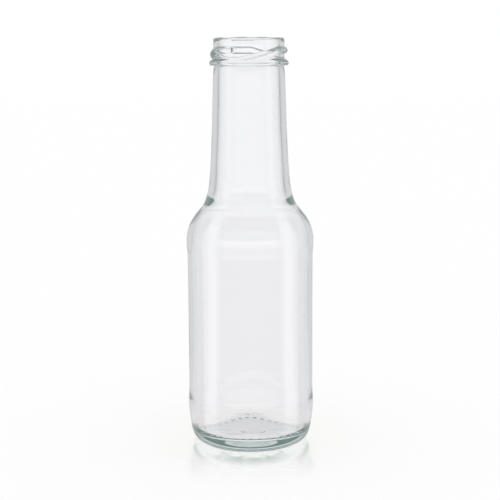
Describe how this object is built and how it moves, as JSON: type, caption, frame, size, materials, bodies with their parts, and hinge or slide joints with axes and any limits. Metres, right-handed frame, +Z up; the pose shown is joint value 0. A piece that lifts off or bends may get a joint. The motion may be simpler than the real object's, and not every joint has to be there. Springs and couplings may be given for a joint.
{
  "type": "sauce bottle",
  "caption": "Slim clear glass sauce bottle, empty and uncapped, with round shoulder, recessed label panel and twist-off lug mouth",
  "frame": {"origin": "middle of the foot, on the surface that the bottle stands on", "axes": "+Z up along the bottle's axis, towards the mouth. The front faces -Y, and X and Y are otherwise alike but for the lugs"},
  "size_m": [0.0622, 0.0622, 0.1975],
  "materials": {
    "glass": "clear flint glass, fire polished, faintly green where thick"
  },
  "bodies": {
    "root": {"bottle": "glass"}
  },
  "joints": []
}
